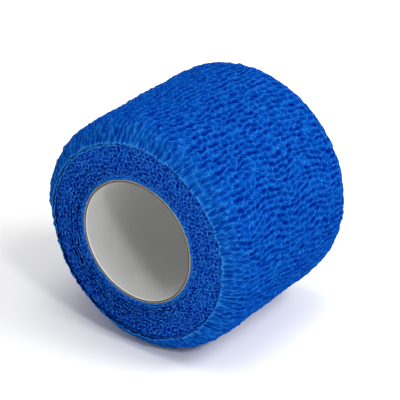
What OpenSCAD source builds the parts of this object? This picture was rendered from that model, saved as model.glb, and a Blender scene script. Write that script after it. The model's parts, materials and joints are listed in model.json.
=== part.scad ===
// A hand wrap: a self-adhering crepe bandage wound on a paper core, lying on its rim.
// The core runs along Y, the origin is on its axis at half its length, and +Z is up.
// The bandage is one long laminate, two crinkled nonwoven plies with elastic yarns between
// them. It is drawn as the wound turns, the last turn, and a free end in three lengths
// that peel away one after another.

/* [Bandage] */
// Width of the bandage, and so the length of the roll
web_width = 50; // [25:1:100]
// Turns wound on the core, with the last one
turns = 14; // [8:1:20]
// Elastic yarns across the width
yarn_count = 22; // [10:1:40]
// Thickness of one elastic yarn
yarn_d = 0.25; // [0.1:0.01:0.27]
// Distance from the outermost yarns to the cut edges
yarn_margin = 2.4; // [2.4:0.1:5]

/* [Roll] */
// Radius of the roll round its middle
roll_r = 30.67; // [28:0.01:36]
// Share of the half width that is a straight band round the middle
band_share = 0.534; // [0.4:0.001:0.7]
// How far the roll's ends fall below its middle
shoulder_drop = 4.63; // [2:0.01:6]
// How suddenly the shoulders fall: a high power is a tight curve
shoulder_power = 5.8; // [2:0.1:8]
// How deep the roll's own weight presses its underside flat
flat_depth = 0.15; // [0.1:0.01:0.2]

/* [Core] */
// Outer radius of the paper core
core_r = 16.3; // [15:0.01:17]
// Thickness of the white-faced paper ply that lines the core
liner_t = 0.2; // [0.18:0.01:0.3]
// Thickness of the kraft board ply
board_t = 0.2; // [0.18:0.01:0.6]
// Thickness of the cream paper ply round the outside
wrap_t = 0.15; // [0.1:0.01:0.2]

/* [Free end] */
// Where the free end leaves the last turn, in degrees from +X up towards +Z
peel_angle = 116; // [110:1:118]
// Length of each of the free end's three bending lengths
tail_length = 11; // [8:0.5:12]
// Bare stretch between the free end's cut edge and the step where the last turn begins
lap_gap = 1; // [0.5:0.1:2]
// Clearance between the free end and the turn it lies on
tail_clearance = 0.15; // [0.1:0.01:0.2]
// Slit between two lengths that bend apart
slit = 0.16; // [0.1:0.01:0.3]

/* [Hidden] */
$fn = 96;

// Depths through one turn, as shares of its thickness from the outside in
face_depth = 0.3;
yarn_depth = 0.5;
back_depth = 0.7;
turn_t = (roll_r - core_r) / turns;
tail_depth = 1 - tail_clearance / turn_t;

half_width = web_width / 2;
band_half = half_width * band_share;
shoulder_steps = 9;

// Degrees round the roll
slit_angle = slit / roll_r * 180 / PI;
tail_step = tail_length / roll_r * 180 / PI;
mid_angle = peel_angle + tail_step;
tip_angle = mid_angle + tail_step;
cut_angle = tip_angle + tail_step;
last_turn_from = cut_angle + lap_gap / roll_r * 180 / PI;
last_turn_to = peel_angle + 360;

white = "WhiteSmoke";
kraft = "Peru";
cream = "Cornsilk";
blue = "RoyalBlue";
dark_blue = "MidnightBlue";

// Radius of the roll's outside at a place along its width
function outside_r(y) =
    roll_r - shoulder_drop * pow(max(0, (abs(y) - band_half) / (half_width - band_half)), shoulder_power);

// Radius of the face that lies a number of turns below the outside
function depth_r(depth, y) = core_r + (1 - depth / turns) * (outside_r(y) - core_r);

// Places across the width, where the shoulder falls by about the same amount from one to the next
shoulder_places = [
    for (i = [0:shoulder_steps])
        band_half + (half_width - band_half) * pow(i / shoulder_steps, 0.35)
];
places = concat([for (i = [shoulder_steps:-1:0]) -shoulder_places[i]], shoulder_places);

// Turns a flat section (radius, place along the core) round the core between two angles
module round_core(from, to) {
    rotate([90, 0, 0])
        rotate([0, 0, from])
            rotate_extrude(angle = to - from)
                children();
}

// Section of what lies between two depths, counted in turns from the outside
module layer_section(depth_out, depth_in) {
    polygon(concat(
        [for (y = places) [depth_r(depth_out, y), y]],
        [for (i = [len(places) - 1:-1:0]) [depth_r(depth_in, places[i]), places[i]]]
    ));
}

module yarn_sections() {
    pitch = (web_width - 2 * yarn_margin) / (yarn_count - 1);
    for (i = [0:yarn_count - 1]) {
        y = i * pitch - half_width + yarn_margin;
        translate([depth_r(yarn_depth, y), y])
            circle(d = yarn_d);
    }
}

module core_ply(outer_r, thickness) {
    rotate([90, 0, 0])
        difference() {
            cylinder(r = outer_r, h = web_width, center = true);
            cylinder(r = outer_r - thickness, h = web_width + 1, center = true);
        }
}

// What the roll's weight presses flat is cut off below the underside
module pressed_flat() {
    difference() {
        children();
        translate([-roll_r, -web_width, -2 * roll_r + flat_depth])
            cube([2 * roll_r, 2 * web_width, roll_r]);
    }
}

module core_liner() {
    color(white) core_ply(core_r - wrap_t - board_t, liner_t);
}

module core_board() {
    color(kraft) core_ply(core_r - wrap_t, board_t);
}

module core_wrap() {
    color(cream) core_ply(core_r, wrap_t);
}

module wound_turns() {
    color(dark_blue)
        rotate([90, 0, 0])
            rotate_extrude()
                layer_section(1, turns);
}

module last_turn_face_ply() {
    color(blue)
        pressed_flat()
            round_core(last_turn_from, last_turn_to)
                layer_section(0, face_depth);
}

module last_turn_elastic_yarns() {
    color(white) round_core(last_turn_from, last_turn_to) yarn_sections();
}

module last_turn_back_ply() {
    color(dark_blue) round_core(last_turn_from, last_turn_to) layer_section(back_depth, 1);
}

module tail_face_ply(from) {
    color(blue) round_core(from + slit_angle, from + tail_step) layer_section(0, face_depth);
}

module tail_elastic_yarns(from) {
    color(white) round_core(from + slit_angle, from + tail_step) yarn_sections();
}

module tail_back_ply(from) {
    color(dark_blue) round_core(from + slit_angle, from + tail_step) layer_section(back_depth, tail_depth);
}

core_liner();
core_board();
core_wrap();
wound_turns();
last_turn_face_ply();
last_turn_elastic_yarns();
last_turn_back_ply();
tail_face_ply(peel_angle);  // tail_root_face_ply
tail_elastic_yarns(peel_angle);  // tail_root_elastic_yarns
tail_back_ply(peel_angle);  // tail_root_back_ply
tail_face_ply(mid_angle);  // tail_mid_face_ply
tail_elastic_yarns(mid_angle);  // tail_mid_elastic_yarns
tail_back_ply(mid_angle);  // tail_mid_back_ply
tail_face_ply(tip_angle);  // tail_tip_face_ply
tail_elastic_yarns(tip_angle);  // tail_tip_elastic_yarns
tail_back_ply(tip_angle);  // tail_tip_back_ply
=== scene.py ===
"""Looks of a hand wrap: a roll of self-adhering crepe bandage on a paper core, lying on its rim.

The core comes first, then the wound turns, the last turn and the free end, as the roll is made.
Lengths in the web's own arithmetic are in millimetres; meshes are in metres.
"""

import json
import math

import bpy
import numpy as np
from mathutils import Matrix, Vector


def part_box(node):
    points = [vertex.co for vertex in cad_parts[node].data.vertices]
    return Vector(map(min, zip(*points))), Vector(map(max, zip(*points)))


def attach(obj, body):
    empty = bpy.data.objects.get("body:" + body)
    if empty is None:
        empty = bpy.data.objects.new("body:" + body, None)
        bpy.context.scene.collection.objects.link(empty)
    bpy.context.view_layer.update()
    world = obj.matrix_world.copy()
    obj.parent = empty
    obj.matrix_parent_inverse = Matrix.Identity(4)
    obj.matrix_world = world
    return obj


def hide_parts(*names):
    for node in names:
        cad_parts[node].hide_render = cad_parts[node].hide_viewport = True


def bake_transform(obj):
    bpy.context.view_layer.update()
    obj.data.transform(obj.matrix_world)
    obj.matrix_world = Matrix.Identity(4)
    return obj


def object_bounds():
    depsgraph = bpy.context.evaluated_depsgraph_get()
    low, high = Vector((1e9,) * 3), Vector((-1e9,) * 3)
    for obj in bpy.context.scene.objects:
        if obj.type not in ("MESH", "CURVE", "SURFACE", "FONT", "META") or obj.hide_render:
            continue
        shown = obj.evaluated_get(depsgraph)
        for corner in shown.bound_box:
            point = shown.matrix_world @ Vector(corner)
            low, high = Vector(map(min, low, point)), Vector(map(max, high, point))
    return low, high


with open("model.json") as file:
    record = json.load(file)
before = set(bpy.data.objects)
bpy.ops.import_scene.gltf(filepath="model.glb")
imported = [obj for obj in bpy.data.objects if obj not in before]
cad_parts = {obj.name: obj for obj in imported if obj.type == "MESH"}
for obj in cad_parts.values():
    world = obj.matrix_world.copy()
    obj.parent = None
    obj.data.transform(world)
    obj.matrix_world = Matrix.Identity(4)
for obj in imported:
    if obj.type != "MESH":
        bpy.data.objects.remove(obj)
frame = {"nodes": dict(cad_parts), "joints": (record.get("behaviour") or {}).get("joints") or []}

cad_low, cad_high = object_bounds()
bpy.ops.object.select_all(action="DESELECT")
bpy.context.scene.view_settings.view_transform = "Standard"

# --- Core ------------------------------------------------------------------------------------
# Three paper plies wound and glued into a tube: a white lining, a kraft board and a cream wrap.
# They are cut to one length, and the knife leaves their edges slightly rounded.
MM = 0.001
MM_PER_METRE = 1000.0
CORE_SEGMENTS = 192
EDGE_ROUND = 0.03 * MM
WALL_CUTS = 3
RIM_FADE = (0.45, 0.35)
CUT_FADE = (0.05, 0.03)
PAPER_FIBRE_BUMP = 0.03 * MM
half_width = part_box("wound_turns")[1].y / MM


class Value:
    """A number, colour or vector socket that takes part in Python expressions."""

    def __init__(self, maker, socket):
        self.maker = maker
        self.socket = socket

    def math(self, operation, *others):
        return self.maker.node("ShaderNodeMath", {"operation": operation}, [self, *others])

    def __add__(self, other):
        return self.math("ADD", other)

    def __sub__(self, other):
        return self.math("SUBTRACT", other)

    def __mul__(self, other):
        return self.math("MULTIPLY", other)

    def __rsub__(self, other):
        return self.maker.node("ShaderNodeMath", {"operation": "SUBTRACT"}, [other, self])

    def __abs__(self):
        return self.math("ABSOLUTE")

    __radd__ = __add__
    __rmul__ = __mul__


class Material:
    """A node material on a Principled shader, built from expressions."""

    def __init__(self, name):
        self.material = bpy.data.materials.new(name)
        self.material.use_nodes = True
        self.tree = self.material.node_tree
        self.shader = self.tree.nodes["Principled BSDF"]

    def node(self, kind, settings, inputs, output=0):
        """Any node: its settings are set first, then its sockets, from a list or a dict
        of values and links."""
        made = self.tree.nodes.new(kind)
        for key, value in settings.items():
            if key == "stops":
                self.set_stops(made.color_ramp, value)
            else:
                setattr(made, key, value)
        pairs = inputs.items() if isinstance(inputs, dict) else enumerate(inputs)
        for key, value in pairs:
            if isinstance(value, Value):
                self.tree.links.new(value.socket, made.inputs[key])
            else:
                made.inputs[key].default_value = value
        return Value(self, made.outputs[output])

    def set_stops(self, ramp, stops):
        while len(ramp.elements) < len(stops):
            ramp.elements.new(0.5)
        for element, (place, colour) in zip(ramp.elements, stops):
            element.position = place
            element.color = (*colour, 1)

    def place(self):
        return self.node("ShaderNodeTexCoord", {}, {}, "Object")

    def attribute(self, name):
        return self.node("ShaderNodeAttribute", {"attribute_name": name}, {}, "Vector")

    def parts(self, vector):
        """The three numbers of a vector."""
        first = self.node("ShaderNodeSeparateXYZ", {}, [vector])
        return [Value(self, socket) for socket in first.socket.node.outputs]

    def joined(self, *numbers):
        return self.node("ShaderNodeCombineXYZ", {}, numbers)

    def noise(self, where, scale, detail=3.0, roughness=0.55):
        settings = {"noise_dimensions": "3D"}
        return self.node("ShaderNodeTexNoise", settings,
                         {"Vector": where, "Scale": scale, "Detail": detail, "Roughness": roughness})

    def ramp(self, value, stops):
        return self.node("ShaderNodeValToRGB", {"stops": stops}, [value])

    def between(self, value, low, high):
        """0 at low, 1 at high, and clamped outside."""
        return self.node("ShaderNodeMapRange", {}, [value, low, high, 0.0, 1.0])

    def mix(self, share, first, second):
        settings = {"data_type": "RGBA"}
        inputs = {0: share, 6: first, 7: second}
        return self.node("ShaderNodeMix", settings, inputs, 2)

    def blend_numbers(self, share, first, second):
        return self.node("ShaderNodeMix", {"data_type": "FLOAT"}, {0: share, 2: first, 3: second}, 0)

    def cells(self, where, scale):
        """How far each place is from the edge of its cell in a flat net, and a number for each cell."""
        inputs = {"Vector": where, "Scale": scale}
        to_edge = {"feature": "DISTANCE_TO_EDGE", "voronoi_dimensions": "2D"}
        net = self.node("ShaderNodeTexVoronoi", to_edge, inputs, "Distance")
        nearest = {"feature": "F1", "voronoi_dimensions": "2D"}
        tints = self.node("ShaderNodeTexVoronoi", nearest, inputs, "Color")
        return net, self.parts(tints)[0]

    def scaled(self, where, amounts):
        return self.node("ShaderNodeVectorMath", {"operation": "MULTIPLY"}, [where, amounts])

    def bump(self, height, distance, strength=1.0):
        inputs = {"Height": height, "Distance": distance, "Strength": strength}
        return self.node("ShaderNodeBump", {}, inputs)

    def finish(self, base, roughness, normal=None, **fixed):
        for name, value in (("Base Color", base), ("Roughness", roughness), ("Normal", normal)):
            if isinstance(value, Value):
                self.tree.links.new(value.socket, self.shader.inputs[name])
            elif value is not None:
                self.shader.inputs[name].default_value = value
        for name, value in fixed.items():
            self.shader.inputs[name.replace("_", " ")].default_value = value
        return self.material


def paper(name, pale, dark, rim, edge):
    """Paper with fibre flecks, a band of another colour near each rim, and a cut edge of its own colour.
    On the white lining the face is painted grey as painted shade inside the bore, and only the rim band
    keeps the paper's white.
    """
    m = Material(name)
    where = m.place()
    flecks = m.noise(m.scaled(where, (1.0, 0.35, 1.0)), 2600.0, 4.0)
    mottle = m.noise(where, 160.0, 2.0)
    face = m.mix(m.between(flecks * 0.5 + mottle * 0.5, 0.38, 0.66), dark, pale)
    from_middle = abs(m.parts(where)[1])
    # Painted light: on the white lining the band near each rim takes the paper's white, while the face is
    # painted grey as shade inside the bore.
    near_rim = m.between(from_middle, *[(half_width - inset) * MM for inset in RIM_FADE])
    cut = m.between(from_middle, *[(half_width - inset) * MM for inset in CUT_FADE])
    colour = m.mix(cut, m.mix(near_rim, face, rim), edge)
    return m.finish(colour, 0.78, m.bump(flecks, PAPER_FIBRE_BUMP, 0.6), Specular_IOR_Level=0.25)


def core_ply(node, material):
    """A ply's tube: an open cylinder given its paper's thickness and softened edges."""
    low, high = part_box(node)
    inner = min(math.hypot(v.co.x, v.co.z) for v in frame["nodes"][node].data.vertices)
    bpy.ops.mesh.primitive_cylinder_add(
        vertices=CORE_SEGMENTS, radius=high.x, depth=high.y - low.y,
        end_fill_type="NOTHING", rotation=(math.pi / 2, 0, 0))
    ply = bpy.context.object
    ply.name = node + "_ply"
    bpy.ops.object.transform_apply(location=True, rotation=True, scale=True)
    bpy.ops.object.mode_set(mode="EDIT")
    bpy.ops.mesh.select_all(action="SELECT")
    bpy.ops.mesh.subdivide(number_cuts=WALL_CUTS)
    bpy.ops.mesh.normals_make_consistent(inside=False)
    bpy.ops.object.mode_set(mode="OBJECT")
    wall = ply.modifiers.new("wall", "SOLIDIFY")
    wall.thickness = high.x - inner
    wall.offset = -1
    soft = ply.modifiers.new("soft", "BEVEL")
    soft.width = EDGE_ROUND
    soft.segments = 2
    soft.limit_method = "ANGLE"
    bpy.ops.object.modifier_apply(modifier="wall")
    bpy.ops.object.modifier_apply(modifier="soft")
    bpy.ops.object.shade_smooth_by_angle(angle=math.radians(40))
    ply.data.materials.append(material)
    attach(ply, "roll")
    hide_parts(node)
    ply.select_set(False)


# The lining's face colours are painted grey as painted shade inside the bore; its rim colour is the
# paper's white.
white_paper = paper("white paper", (0.58, 0.58, 0.58, 1), (0.54, 0.54, 0.54, 1),
                    (0.86, 0.86, 0.84, 1), (0.15, 0.125, 0.065, 1))
kraft_board = paper("kraft board", (0.20, 0.16, 0.07, 1), (0.14, 0.11, 0.05, 1),
                    (0.14, 0.11, 0.05, 1), (0.05, 0.038, 0.013, 1))
cream_paper = paper("cream paper", (0.60, 0.57, 0.44, 1), (0.50, 0.47, 0.36, 1),
                    (0.50, 0.47, 0.36, 1), (0.42, 0.40, 0.30, 1))
core_ply("core_liner", white_paper)
core_ply("core_board", kraft_board)
core_ply("core_wrap", cream_paper)

# --- Web -------------------------------------------------------------------------------------
# The bandage is two plies of thin nonwoven glued either side of stretched elastic yarns. As the
# yarns shrink, each ply gathers into rows of small pockets between one yarn and the next.
YARN_COUNT = 22
YARN_MARGIN = 2.4
ROW_PITCH = 1.68
ROW_CLIMB = 0.12
POCKET_ALONG = 0.36
POCKET_ACROSS = 0.78
POCKET_DEPTH = 0.5
FOLD_RISE = 0.18
FOLD_SHARPNESS = 0.17
MIDDLE_TONE = 0.49
YARN_REACH = 0.4
YARN_CALM = 0.55
TURNS = 14
yarn_pitch = 2 * (half_width - YARN_MARGIN) / (YARN_COUNT - 1)
roll_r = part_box("last_turn_face_ply")[1].x / MM
RIM_SHARE = 0.849
rim_r = RIM_SHARE * roll_r
core_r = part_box("core_wrap")[1].x / MM
rest_z = cad_low.z / MM
BAND_SHARE = 0.534
band_half = BAND_SHARE * half_width
SHOULDER_POWER = 5.8
PROFILE_SAMPLES = 4001
turn_t = (roll_r - core_r) / TURNS
peel_hinge = next(joint["pos_m"] for joint in frame["joints"] if joint["name"] == "tail_peel")
peel_angle = math.atan2(peel_hinge[2], peel_hinge[0])
TAIL_LENGTH = 33.0
LAP_RAMP = 0.70
cut_angle = peel_angle + TAIL_LENGTH / roll_r
DICE_STEPS = (374761393, 668265263, 974634777)
DICE_MIX = 1274126177
LOW_32 = 0xFFFFFFFF
LOW_16 = 0xFFFF


def dice(i, j, seed):
    """A repeatable random share for each pair of whole numbers."""
    along, across, layer = DICE_STEPS
    h = (i.astype(np.int64) * along + j.astype(np.int64) * across + seed * layer) & LOW_32
    h = ((h ^ (h >> 13)) * DICE_MIX) & LOW_32
    return ((h ^ (h >> 16)) & LOW_16) / LOW_16


def cloud(x, y, seed):
    """Smooth noise from 0 to 1 with one hill or hollow to each unit."""
    i, j = np.floor(x), np.floor(y)
    u, v = x - i, y - j
    u, v = u * u * (3 - 2 * u), v * v * (3 - 2 * v)
    low = dice(i, j, seed) * (1 - u) + dice(i + 1, j, seed) * u
    high = dice(i, j + 1, seed) * (1 - u) + dice(i + 1, j + 1, seed) * u
    return low * (1 - v) + high * v


def outside_r(y):
    """The roll's outside radius: nearly straight in the middle, rounded off to its two rims."""
    over = np.clip((np.abs(y) - band_half) / (half_width - band_half), 0, 1)
    return roll_r - (roll_r - rim_r) * over ** SHOULDER_POWER


profile_y = np.linspace(-half_width, half_width, PROFILE_SAMPLES)
profile_steps = np.hypot(np.diff(profile_y), np.diff(outside_r(profile_y)))
profile_run = np.concatenate([[0], np.cumsum(profile_steps)])
half_run = profile_run[-1] / 2


def across_places(count):
    """Places from edge to edge that are evenly spaced over the rounded shoulders."""
    return np.interp(np.linspace(0, 2 * half_run, count), profile_run, profile_y)


def run_across(y):
    """Lengths from mid width, measured over the rounded shoulders."""
    return np.interp(y, profile_y, profile_run) - half_run


def pockets(s, w, seed):
    """The crepe's cells at a place along and across the web: how deep it is in a pocket,
    and how near the fold between two pockets."""
    drift = 1.5 * cloud(s / 10, w / 9, seed + 2) + 0.6 * cloud(s / 3.4, w / 3.2, seed + 3)
    rows = (s + ROW_CLIMB * w) / ROW_PITCH + drift
    columns = w / yarn_pitch + 0.5 + 0.3 * (cloud(s / 4.5, w / 6, seed + 1) - 0.5)
    nearest = np.full_like(s, 9.0)
    second = np.full_like(s, 9.0)
    strength = np.zeros_like(s)
    for row_step in (-1, 0, 1):
        for column_step in (-1, 0, 1):
            row = np.floor(rows) + row_step
            column = np.floor(columns) + column_step
            along = rows - row - 0.5 - 0.4 * (dice(row, column, seed + 4) - 0.5)
            across = columns - column - 0.5 - 0.5 * (dice(row, column, seed + 5) - 0.5)
            lean = 0.35 * (dice(row, column, seed + 6) - 0.5)
            out = np.hypot((along + lean * across) / POCKET_ALONG, across / POCKET_ACROSS)
            closer = out < nearest
            second = np.where(closer, nearest, np.minimum(second, out))
            strength = np.where(closer, 0.25 + 0.75 * dice(row, column, seed + 9), strength)
            nearest = np.where(closer, out, nearest)
    fold = np.exp(-(((second - nearest) / FOLD_SHARPNESS) ** 2))
    size = 0.38 + 0.3 * strength
    return strength * np.exp(-((nearest / size) ** 3)), fold


def crinkle(s, y, seed):
    """Height of a ply's outer face over its mean surface, in millimetres, and its tone, which is painted
    shade, dark (near 1), in the pockets, and painted highlight, pale (near 0), on the folds, on high
    swells, on the shoulders and on the lip at each cut edge."""
    w = run_across(y)
    deep, fold = pockets(s, w, seed)
    fine = cloud(s / 0.55, w / 0.8, seed + 17) + 0.6 * cloud(s / 0.27, w / 0.4, seed + 18) - 0.8
    broad = 0.25 * (cloud(s / 4, w / 3, seed + 19) - 0.5)
    swell = broad + 0.6 * (cloud(s / 1.3, w / 2.0, seed + 20) - 0.5)
    from_yarn = (w / yarn_pitch - np.floor(w / yarn_pitch) - 0.5) * yarn_pitch
    has_yarns = np.abs(y) < half_width - YARN_MARGIN + 1
    calm = 1 - YARN_CALM * np.exp(-((from_yarn / YARN_REACH) ** 2)) * has_yarns
    height = calm * (FOLD_RISE * (0.3 + 0.7 * fold) - POCKET_DEPTH * deep + 0.14 * fine + swell)
    # The tone paints light: paler on high swells and on the shoulders, where the pockets are also shaded
    # less, and a pale line of painted highlight on the lip at each cut edge.
    shoulder = np.clip((np.abs(w) - half_run + 7.0) / 3.0, 0, 1)
    lip_light = 0.4 * np.clip((np.abs(w) - half_run + 0.5) / 0.3, 0, 1)
    pocket_shade_and_fold_light = 0.7 * deep * (1 - 0.35 * shoulder) - 0.26 * fold * (1 - deep)
    return height, MIDDLE_TONE + pocket_shade_and_fold_light - 0.15 * swell - 0.08 * shoulder - lip_light


def depth_at(angle):
    """Turns below the outside at a winding angle: the roll is round, and each turn steps in
    near the cut end."""
    back = (cut_angle - angle) / math.tau
    whole = np.floor(back + 1e-9)
    over = np.clip((back - whole - LAP_RAMP) / (1 - LAP_RAMP), 0, 1)
    return np.minimum(whole + over * over * (3 - 2 * over), TURNS - 1)


def on_roll(angle, y, depth, pull=0.0):
    """Points at winding angles, places across and turns below the outside, in metres. Pull moves
    them along the tube, and the underside lies flat."""
    r = core_r + (1 - depth / TURNS) * (outside_r(y) - core_r)
    z = np.maximum(r * np.sin(angle), rest_z)
    return np.stack([r * np.cos(angle), y + pull, z], -1) * MM


def marks(s, y, tone):
    """What the material reads at each point: where its pattern falls, in millimetres, and the tone."""
    return np.stack([s, y, tone + 0 * s], -1)


def mesh_piece(name, points, faces, web, material):
    """A smooth mesh that carries what its material reads at each point."""
    mesh = bpy.data.meshes.new(name)
    mesh.from_pydata(points.reshape(-1, 3), [], faces)
    marked = mesh.attributes.new("web", "FLOAT_VECTOR", "POINT")
    marked.data.foreach_set("vector", web.astype(np.float32).ravel())
    mesh.polygons.foreach_set("use_smooth", [True] * len(mesh.polygons))
    mesh.materials.append(material)
    piece = bpy.data.objects.new(name, mesh)
    bpy.context.scene.collection.objects.link(piece)
    return piece


def shell(name, upper, lower, web, web_lower, material):
    """A closed sheet from a grid of points on its outer face and a grid on its inner face.
    Both run along the web by rows and across it by columns; the columns may differ in number."""
    stations, top, under = upper.shape[0], upper.shape[1], lower.shape[1]
    around = top + under
    points = np.concatenate([upper, lower[:, ::-1]], 1)
    k = np.arange(stations - 1)[:, None] * around
    j = np.arange(around)[None, :]
    nxt = (j + 1) % around
    sides = np.stack([k + j, k + nxt, k + around + nxt, k + around + j], -1).reshape(-1, 4).tolist()
    if top == under:
        j = np.arange(top - 1)
        start = np.stack([j, around - 1 - j, around - 2 - j, j + 1], -1)
        final = start[:, ::-1] + (stations - 1) * around
        ends = start.tolist() + final.tolist()
    else:
        ring = np.arange(around)
        ends = [ring[::-1].tolist(), (ring + (stations - 1) * around).tolist()]
    web = np.concatenate([web, web_lower[:, ::-1]], 1)
    return mesh_piece(name, points, sides + ends, web, material)


FIBRE_CELL = (0.65, 1.55)
END_FADE = (0.7, 0.45)
FOAM_SCALE = 0.9
FOAM_WARP = 1.7
TIGHT_BAND = (0.5, 1.8)
CREPE_BUMP = 0.22 * MM


def at_roll_end(m):
    """1 on the web's cut edges and 0 inside."""
    from_middle = abs(m.parts(m.place())[1])
    return m.between(from_middle, *[(half_width - inset) * MM for inset in END_FADE])


def foam_light_and_shade(m):
    """The open cells that the cut edges make together: painted highlight, pale, on the edges between the
    cells, and painted shade, dark, in them. Next to the tube the turns are tight and the cells close up,
    so less shade is painted there."""
    x, y, z = m.parts(m.place())
    warp = m.noise(m.joined(x, 0.0, z), 900.0, 3.0, 0.7) - 0.5
    pull = m.noise(m.joined(z, 0.0, x), 1000.0, 3.0, 0.7) - 0.5
    spot = m.joined(x * MM_PER_METRE + warp * FOAM_WARP, z * MM_PER_METRE + pull * FOAM_WARP, 0.0)
    net, own = m.cells(spot, FOAM_SCALE)
    fibres = m.noise(m.joined(x, y, z), 4200.0, 4.0, 0.7)
    ring = m.node("ShaderNodeVectorMath", {"operation": "LENGTH"}, [m.joined(x, 0.0, z)], "Value")
    tight, loose = [(core_r + over) * MM for over in TIGHT_BAND]
    open_cells = m.between(ring, tight, loose) * 0.65 + 0.35
    torn = m.between(m.noise(m.joined(x, 0.0, z), 1300.0, 3.0, 0.6), 0.44, 0.62)
    # Painted shade in the cells and painted highlight on the net between them.
    cell = m.between(net + pull * 0.25, 0.04, 0.34) * (own * 0.6 + 0.55)
    return (cell + torn * 0.3) * open_cells + (fibres - 0.5) * 0.9 + 0.03


def crepe(name, pale, light, middle, dark, foam=False):
    """Dyed nonwoven: a fine net of fibres, with painted shade in the gaps between them, over folds
    painted pale as painted highlight and pockets painted dark as painted shade. With foam, the cut edges
    at the roll's ends show open cells instead."""
    m = Material(name)
    s, y, tone = m.parts(m.attribute("web"))
    warp = m.noise(m.joined(s, y, 0.0), 0.9, 3.0) - 0.5
    along, across = [1 / length for length in FIBRE_CELL]
    spot = m.joined(s * along + warp * 1.6, y * across + warp * 1.1, 0.0)
    net, own = m.cells(spot, 1.0)
    thread = 1.0 - m.between(net, 0.02, 0.13)
    # Painted shade: the gaps between the fibres are darkened.
    gap_shade = m.between(net, 0.10, 0.42) * m.between(own, 0.25, 0.95)
    fibres = m.noise(m.joined(s, y * 0.6, 0.0), 4.5, 5.0, 0.7)
    shade = tone + gap_shade * 0.38 - thread * 0.16 + (fibres - 0.5) * 0.5
    if foam:
        shade = m.blend_numbers(at_roll_end(m), shade, foam_light_and_shade(m))
    colour = m.ramp(shade, ((0.0, pale), (0.16, light), (0.46, middle), (0.95, dark)))
    normal = m.bump(1.0 - shade, CREPE_BUMP, 0.8)
    return m.finish(colour, 0.9, normal, Specular_IOR_Level=0.0)


# The web has one dye. crepe_face colours the outer face; the copy for the wound turns, whose cut edges
# make the roll's ends, and for the back plies is painted lighter, as painted light on those shaded faces.
crepe_face = crepe("crepe face", (0.028, 0.21, 0.62), (0.010, 0.135, 0.51),
                   (0.0015, 0.059, 0.355), (0.0, 0.012, 0.21))
crepe_painted_lighter = crepe("crepe painted lighter", (0.055, 0.28, 0.76), (0.014, 0.155, 0.62),
                    (0.003, 0.070, 0.51), (0.0, 0.013, 0.33), foam=True)
elastic = crepe("elastic yarn", (0.40, 0.55, 0.80), (0.30, 0.45, 0.75),
                (0.10, 0.28, 0.62), (0.03, 0.14, 0.45))

# --- Wound turns -----------------------------------------------------------------------------
# Thirteen turns of the web lie under the last one. Only their cut edges show, at the two ends:
# the plies part and meet again at every fold, and the edges stand a little in and out.
EDGE_STEP = 0.25
PLY_SHARE = 0.3
COVERED = 1.21
CELL = 1.0
CELL_OPEN = 0.28
INNER_END = 0.15
EDGE_INSETS = (0.0, 0.5, 2.5)
EDGE_BAND = 2.0
TIGHT_BY_TUBE = 0.7
SPIRAL_SAMPLES = 20001


def spiral_places(first, last, step):
    """Winding angles evenly spaced along the web at the roll's ends, and the lengths there."""
    angle = np.linspace(first, last, SPIRAL_SAMPLES)
    r = core_r + (1 - depth_at(angle) / TURNS) * (rim_r - core_r)
    run = np.concatenate([[0], np.cumsum(np.diff(angle) * (r[1:] + r[:-1]) / 2)])
    s = np.linspace(0, run[-1], int(run[-1] / step) + 1)
    return np.interp(s, run, angle), s


def parting(angle, r):
    """How far the ply edges are pushed in or out, in millimetres, around the open cells
    of the roll's ends."""
    push = np.zeros_like(r)
    for ring_step in (-1, 0, 1):
        ring = np.floor(r / CELL) + ring_step
        along = angle * (ring + 0.5)
        for step in (-1, 0, 1):
            cell = np.floor(along) + step
            aside = along - cell - 0.5 - 0.6 * (dice(ring, cell, 71) - 0.5)
            over = r / CELL - ring - 0.5 - 0.6 * (dice(ring, cell, 72) - 0.5)
            bow = np.sqrt(np.clip(1 - (aside / 0.52) ** 2, 0, 1))
            wide = CELL_OPEN * (0.65 + 0.5 * dice(ring, cell, 73)) * bow
            moved = np.sign(over) * wide * np.clip(1 - np.abs(over) / 0.55, 0, 1)
            push = np.where(np.abs(moved) > np.abs(push), moved, push)
    return push * CELL


def wound_ply(name, middle, seed):
    """One ply of the wound turns: full detail at its edges and a plain strip between them."""
    start, end = cut_angle - (TURNS - INNER_END) * math.tau, cut_angle - COVERED * math.tau
    angle, s = spiral_places(start, end, EDGE_STEP)
    inset = np.array(EDGE_INSETS)
    y = np.concatenate([inset - half_width, half_width - inset[::-1]])
    a, yy = np.meshgrid(angle, y, indexing="ij")
    ss = np.meshgrid(s, y, indexing="ij")[0]
    side = np.sign(yy)
    depth = depth_at(a) + middle
    near = np.clip((np.abs(yy) - half_width + EDGE_BAND) / EDGE_BAND, 0, 1)
    r = core_r + (1 - depth / TURNS) * (rim_r - core_r)
    loose = np.clip(r - core_r - TIGHT_BY_TUBE, 0, 1)
    push = parting(a + side * 0.7, r) * loose * near
    wobble = 0.5 * (cloud(ss / 0.9, side * 5.0, seed + 1) - 0.5) * loose
    depth = np.minimum(depth + wobble - push / (rim_r - core_r) * TURNS, TURNS - 0.35)
    sunk = 0.6 * np.clip((r - rim_r + 1.3) / 0.6, 0, 1)
    at_edge = (np.abs(yy) > half_width - 0.1) * side
    ragged = -side * near * sunk + at_edge * (0.4 * cloud(ss / 0.7, yy * 0 + middle, seed) - 0.3)
    upper = on_roll(a, yy, depth - PLY_SHARE / 2, ragged)
    lower = on_roll(a, yy, depth + PLY_SHARE / 2, ragged)
    # Painted shade: the turns are toned dark for the depths of the open cells, less so next to the tube
    # where the cells close up.
    web = marks(ss, yy, 0.95 - 0.5 * (1 - loose))
    piece = shell(name, upper, lower, web, web, crepe_painted_lighter)
    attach(piece, "roll")
    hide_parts("wound_turns")
    return piece


wound_ply("wound_face_ply", 0.3, 41)
wound_ply("wound_back_ply", 0.7, 45)

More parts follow.
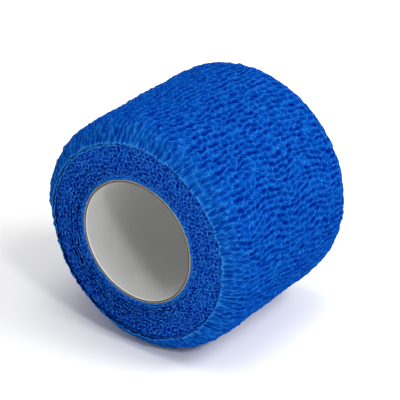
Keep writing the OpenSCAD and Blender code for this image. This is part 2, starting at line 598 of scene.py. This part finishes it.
# --- Last turn -------------------------------------------------------------------------------
# The outermost turn of the web and the stretch it covers near the free end. Its face ply shows
# all its pockets, the yarns run between the plies, and the back ply lies on the turn below.
FACE_STEP = 0.2
ACROSS = 108
PLY = 0.2
LIP_OUT = 0.5
LIP_BAND = 0.8
UNDER_FACE = 0.9
UNDER_PLACES = (-1, -0.985, -0.93, -0.84, 0.84, 0.93, 0.985, 1)
BACK_ACROSS = 14
BORDER = 6.0
YARN_R = 0.125
YARN_SIDES = 6
YARN_DEPTH = 0.62


def web_grid(first, last, y):
    """A grid of winding angles and places across, and the lengths along the web from the first hinge."""
    count = int(abs(last - first) * roll_r / FACE_STEP) + 1
    a, yy = np.meshgrid(np.linspace(first, last, count), y, indexing="ij")
    return a, yy, (a - peel_angle) * roll_r


def lip(s, y):
    """How far the web's cut edges stand out past the ends of the roll, in millimetres."""
    near = np.clip((np.abs(y) - half_width + LIP_BAND) / LIP_BAND, 0, 1)
    return near * np.sign(y) * LIP_OUT * (0.4 + 1.2 * cloud(s / 1.3, np.sign(y) * 9.0, 51))


def face_ply(name, first, last, body, nodes, thin):
    """A stretch of the web's outer ply. A thin one has its pockets on both sides, so it can be lifted."""
    a, yy, s = web_grid(first, last, across_places(ACROSS))
    rise, tone = crinkle(s, yy, 11)
    upper = on_roll(a, yy, depth_at(a) - rise / turn_t, lip(s, yy))
    web = marks(s, yy, tone)
    if thin:
        lower, web_lower = on_roll(a, yy, depth_at(a) - (rise - PLY) / turn_t, lip(s, yy)), web
    else:
        a, yy, s = web_grid(first, last, np.array(UNDER_PLACES) * half_width)
        rise, tone = crinkle(s, yy, 11)
        under = np.where(np.abs(yy) > 0.95 * half_width, PLY - rise, UNDER_FACE)
        lower = on_roll(a, yy, depth_at(a) + under / turn_t, lip(s, yy))
        web_lower = marks(s, yy, tone)
    piece = shell(name, upper, lower, web, web_lower, crepe_face)
    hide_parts(*nodes)
    (last - first) * roll_r * MM
    if body:
        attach(piece, body)
    return piece


def back_ply(name, first, last, body, nodes, fine):
    """A stretch of the web's inner ply, whose pockets face the roll."""
    y = across_places(ACROSS if fine else BACK_ACROSS)
    a, yy, s = web_grid(first, last, y)
    rise, tone = crinkle(s, yy, 61)
    sunk = 0.03 * turn_t + 0.35 * (FOLD_RISE + 0.2 - rise)
    lower = on_roll(a, yy, depth_at(a) + 1 - sunk / turn_t, 0.2 * lip(s, yy))
    upper = on_roll(a, yy, depth_at(a) + 1 - (sunk + PLY) / turn_t, 0.2 * lip(s, yy))
    web = marks(s, yy, tone)
    piece = shell(name, upper, lower, web, web, crepe_painted_lighter)
    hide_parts(*nodes)
    (last - first) * roll_r * MM
    if body:
        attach(piece, body)
    return piece


def yarns(name, first, last, body, nodes, step):
    """The elastic yarns of a stretch of web, between its two plies."""
    sides = np.arange(YARN_SIDES) * math.tau / YARN_SIDES
    count = int((last - first) * roll_r / step) + 2
    angle = np.linspace(first, last, count)
    points, faces = [], []
    for y in (np.arange(YARN_COUNT) - (YARN_COUNT - 1) / 2) * yarn_pitch:
        base = len(points) * count * YARN_SIDES
        a, turn = np.meshgrid(angle, sides, indexing="ij")
        depth = depth_at(a) + YARN_DEPTH - YARN_R * np.sin(turn) / turn_t
        points.append(on_roll(a, y + YARN_R * np.cos(turn), depth))
        k = base + np.arange(count - 1)[:, None] * YARN_SIDES
        j = np.arange(YARN_SIDES)[None, :]
        nxt = (j + 1) % YARN_SIDES
        ahead = k + YARN_SIDES
        faces += np.stack([k + j, ahead + j, ahead + nxt, k + nxt], -1).reshape(-1, 4).tolist()
        faces.append([base + i for i in range(YARN_SIDES)])
        faces.append([base + (count - 1) * YARN_SIDES + i for i in reversed(range(YARN_SIDES))])
    points = np.concatenate(points)
    web = marks(points[..., 0] / MM, points[..., 1] / MM, 0.3)
    piece = mesh_piece(name, points, faces, web, elastic)
    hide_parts(*nodes)
    if body:
        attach(piece, body)
    return piece


last_first, last_end = cut_angle - math.tau, peel_angle - BORDER / roll_r
face_ply("last_turn_face", last_first, last_end, "roll", ["last_turn_face_ply"], False)
yarns("last_turn_yarns", last_first, last_end, "roll", ["last_turn_elastic_yarns"], 1.5)
back_ply("last_turn_back", last_first, last_end, "roll", ["last_turn_back_ply"], False)
covered_first = cut_angle - COVERED * math.tau
face_ply("covered_face", covered_first, last_first, "roll", ["wound_turns"], False)
back_ply("covered_back", covered_first, last_first, "roll", ["wound_turns"], False)

# --- Free end --------------------------------------------------------------------------------
# The cut end of the web clings to the turn below it and peels off by hand. It bends at three
# places; each stretch is one length of all three layers, and runs on from the stretch before.
# Hinges and stretches are measured along the web from the first hinge, in millimetres.
HINGE_PLACES = (0.0, 11.0, 22.0)
STRETCH_ENDS = (5.5, 16.5, TAIL_LENGTH)
BEND_BEFORE = 0.2
BEND_AFTER = 5.4


def place_on_web(s):
    """A point of the web's outside in mid width, s millimetres past the first hinge, in metres."""
    angle = peel_angle + s / roll_r
    return (roll_r * MM * math.cos(angle), 0, roll_r * MM * math.sin(angle))


def tail_stretch(body, first, last, hinge):
    """One stretch of the free end, lying on the roll; a hinge falls inside it."""
    bend_from, bend_to = hinge - BEND_BEFORE, hinge + BEND_AFTER
    a, b = peel_angle + first / roll_r, peel_angle + last / roll_r
    layers = [
        face_ply(body + "_face", a, b, None, [body + "_face_ply"], True),
        yarns(body + "_yarns", a, b, None, [body + "_elastic_yarns"], 0.5),
        back_ply(body + "_back", a, b, None, [body + "_back_ply"], True),
    ]
    for layer in layers:
        place_on_web(bend_from)
        place_on_web(bend_to)
        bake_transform(layer)


stretch_start = -BORDER
body_before = "roll"
for body, stretch_end, hinge in zip(("tail_root", "tail_mid", "tail_tip"), STRETCH_ENDS, HINGE_PLACES):
    tail_stretch(body, stretch_start, stretch_end, hinge)
    stretch_start, body_before = stretch_end, body

# --- Floor, light and camera -----------------------------------------------------------------
# A white floor under a pale sky. The strongest light comes from the right, a broad one from
# overhead, and a small one from the front right puts an edge on the crinkles.
FLOOR_SIZE = 6
SKY = (1, 0.99, 0.965, 1)
SKY_STRENGTH = 0.5
LIGHT_DISTANCE = 0.9
bpy.ops.mesh.primitive_plane_add(size=FLOOR_SIZE, location=(0, 0, cad_low.z))
floor = bpy.context.object
floor.name = "floor"
floor_look = Material("floor")
floor.data.materials.append(floor_look.finish((1, 1, 1, 1), 0.9, Specular_IOR_Level=0.0))

world = bpy.data.worlds.new("studio")
bpy.context.scene.world = world
world.use_nodes = True
background = world.node_tree.nodes["Background"]
background.inputs["Color"].default_value = SKY
background.inputs["Strength"].default_value = SKY_STRENGTH


def area_light(name, azimuth, elevation, size, power):
    """A square light that faces the roll from a direction given in degrees."""
    a, e = math.radians(azimuth), math.radians(elevation)
    spot = (math.sin(a) * math.cos(e), -math.cos(a) * math.cos(e), math.sin(e))
    light = bpy.data.lights.new(name, "AREA")
    light.size = size
    light.energy = power
    lamp = bpy.data.objects.new(name, light)
    lamp.location = [LIGHT_DISTANCE * c for c in spot]
    lamp.rotation_euler = (math.pi / 2 - e, 0, a)
    bpy.context.scene.collection.objects.link(lamp)


area_light("key", azimuth=112, elevation=46, size=0.35, power=4.4)
area_light("top", azimuth=40, elevation=85, size=0.5, power=2.8)
area_light("front", azimuth=62, elevation=38, size=0.12, power=2.1)

VIEW_AZIMUTH, VIEW_ELEVATION = 36.2, 28.1
DISTANCE_IN_RADII = 16.0
AIM_RIGHT, AIM_UP = 0.8, 0.9
# The share of the render's width that the roll's radius takes.
SHOWN_RADIUS = 0.30375
camera = bpy.data.cameras.new("camera")
camera.lens = camera.sensor_width * SHOWN_RADIUS * DISTANCE_IN_RADII
eye = bpy.data.objects.new("camera", camera)
azimuth, elevation = math.radians(VIEW_AZIMUTH), math.radians(VIEW_ELEVATION)
far = DISTANCE_IN_RADII * roll_r * MM
aim = (AIM_RIGHT * math.cos(azimuth), AIM_RIGHT * math.sin(azimuth), AIM_UP)
eye.location = (aim[0] * MM + far * math.sin(azimuth) * math.cos(elevation),
                aim[1] * MM - far * math.cos(azimuth) * math.cos(elevation),
                aim[2] * MM + far * math.sin(elevation))
eye.rotation_euler = (math.pi / 2 - elevation, 0, azimuth)
bpy.context.scene.collection.objects.link(eye)
bpy.context.scene.camera = eye
